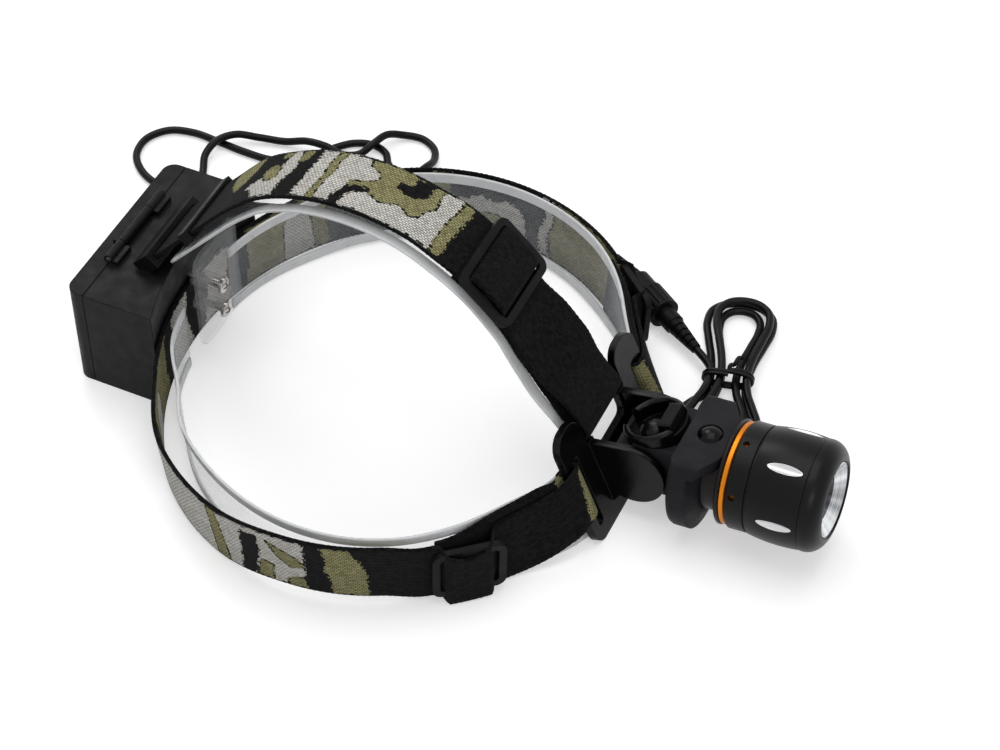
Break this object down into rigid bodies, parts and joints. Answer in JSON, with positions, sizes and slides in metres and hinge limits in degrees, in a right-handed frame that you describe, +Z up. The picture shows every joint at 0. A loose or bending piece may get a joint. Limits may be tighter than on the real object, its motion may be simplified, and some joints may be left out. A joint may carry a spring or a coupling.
{
  "type": "headlamp",
  "caption": "Strap-on focusing headlamp: elastic head and crown bands with clear grip liners, tilting lamp on a hinged bracket, corded rear battery box.",
  "frame": {"origin": "middle of the head opening, on the surface that the headlamp lies on", "axes": "+X forward along the beam, +Y to the wearer's left, +Z up"},
  "size_m": [0.3385, 0.2395, 0.1096],
  "materials": {
    "webbing": "knitted camouflage elastic",
    "clear_liner": "clear glossy",
    "black_plastic": "glossy moulded",
    "grey_housing": "matte moulded",
    "black_rubber": "matte",
    "cord_jacket": "satin",
    "steel": "bright",
    "circuit_board": "lacquered",
    "black_metal": "satin anodised",
    "dark_metal": "anodised",
    "gold_anodised": "satin anodised",
    "bright_reflector": "polished",
    "lens_clear": "clear",
    "led_phosphor": "gloss",
    "cell_can": "sleeved"
  },
  "bodies": {
    "headset": {"side_strap": "webbing", "crown_strap": "webbing", "near_fold": "webbing", "far_fold": "webbing", "crown_fold": "webbing", "side_liner": "clear_liner", "crown_liner": "clear_liner", "near_buckle": "black_plastic", "far_buckle": "black_plastic", "crown_buckle": "black_plastic", "front_bracket": "black_plastic", "pivot_pin": "steel", "pivot_bush": "steel", "cord_relief": "black_rubber", "rear_plate": "clear_liner", "plate_screws": "steel", "battery_box": "black_plastic", "lid_pin": "steel", "battery_cells": "cell_can", "contact_springs": "steel", "contact_plates": "steel", "charge_board": "circuit_board", "box_relief": "black_rubber", "strap_keeper": "black_plastic", "lamp_cord": "cord_jacket", "cord_hank": "cord_jacket", "hank_tie": "cord_jacket", "plug_cord": "cord_jacket", "plug_body": "black_plastic", "socket_body": "black_plastic", "battery_cord": "cord_jacket"},
    "lamp_arm": {"lamp_cradle": "grey_housing", "hinge_cup": "black_plastic", "cup_cap": "black_plastic", "latch_spring": "steel", "button_spring": "steel", "switch_body": "black_plastic", "driver_board": "circuit_board", "lamp_tail": "dark_metal", "led_pillar": "dark_metal", "led_board": "bright_reflector", "led_dome": "led_phosphor", "gold_sleeve": "gold_anodised", "sleeve_oring": "black_rubber"},
    "focus_head": {"focus_barrel": "black_metal", "bezel": "black_metal", "lens_cone": "bright_reflector", "lens": "lens_clear", "lens_oring": "black_rubber", "lens_ring": "black_metal"},
    "button": {"push_button": "black_plastic"},
    "latch": {"tilt_latch": "black_plastic"},
    "nut": {"coupling_nut": "black_plastic"},
    "lid": {"battery_lid": "black_plastic"}
  },
  "joints": [
    {"name": "lamp_tilt", "type": "hinge", "parent": "headset", "child": "lamp_arm", "pos_m": [0.1015, 0, 0.023], "axis": [0, 1, 0], "range_deg": [0, 50]},
    {"name": "focus_slide", "type": "slide", "parent": "lamp_arm", "child": "focus_head", "axis": [0.9966, 0, 0.0819], "range_m": [0, 0.006]},
    {"name": "button_press", "type": "slide", "parent": "lamp_arm", "child": "button", "axis": [0.0819, 0, -0.9966], "range_m": [0, 0.001], "stiffness_N_per_m": 500, "springref_m": -0.002, "deforming": ["button_spring"]},
    {"name": "latch_slide", "type": "slide", "parent": "lamp_arm", "child": "latch", "axis": [-0.9205, 0, -0.3907], "range_m": [0, 0.0012], "stiffness_N_per_m": 400, "springref_m": -0.002},
    {"name": "nut_turn", "type": "hinge", "parent": "headset", "child": "nut", "pos_m": [0.07087, 0.08378, 0.0066], "axis": [-0.8261, 0.5635, 0], "continuous": true},
    {"name": "lid_hinge", "type": "hinge", "parent": "headset", "child": "lid", "pos_m": [-0.1106, 0, 0.0482], "axis": [0, 1, 0], "range_deg": [0, 110]}
  ]
}
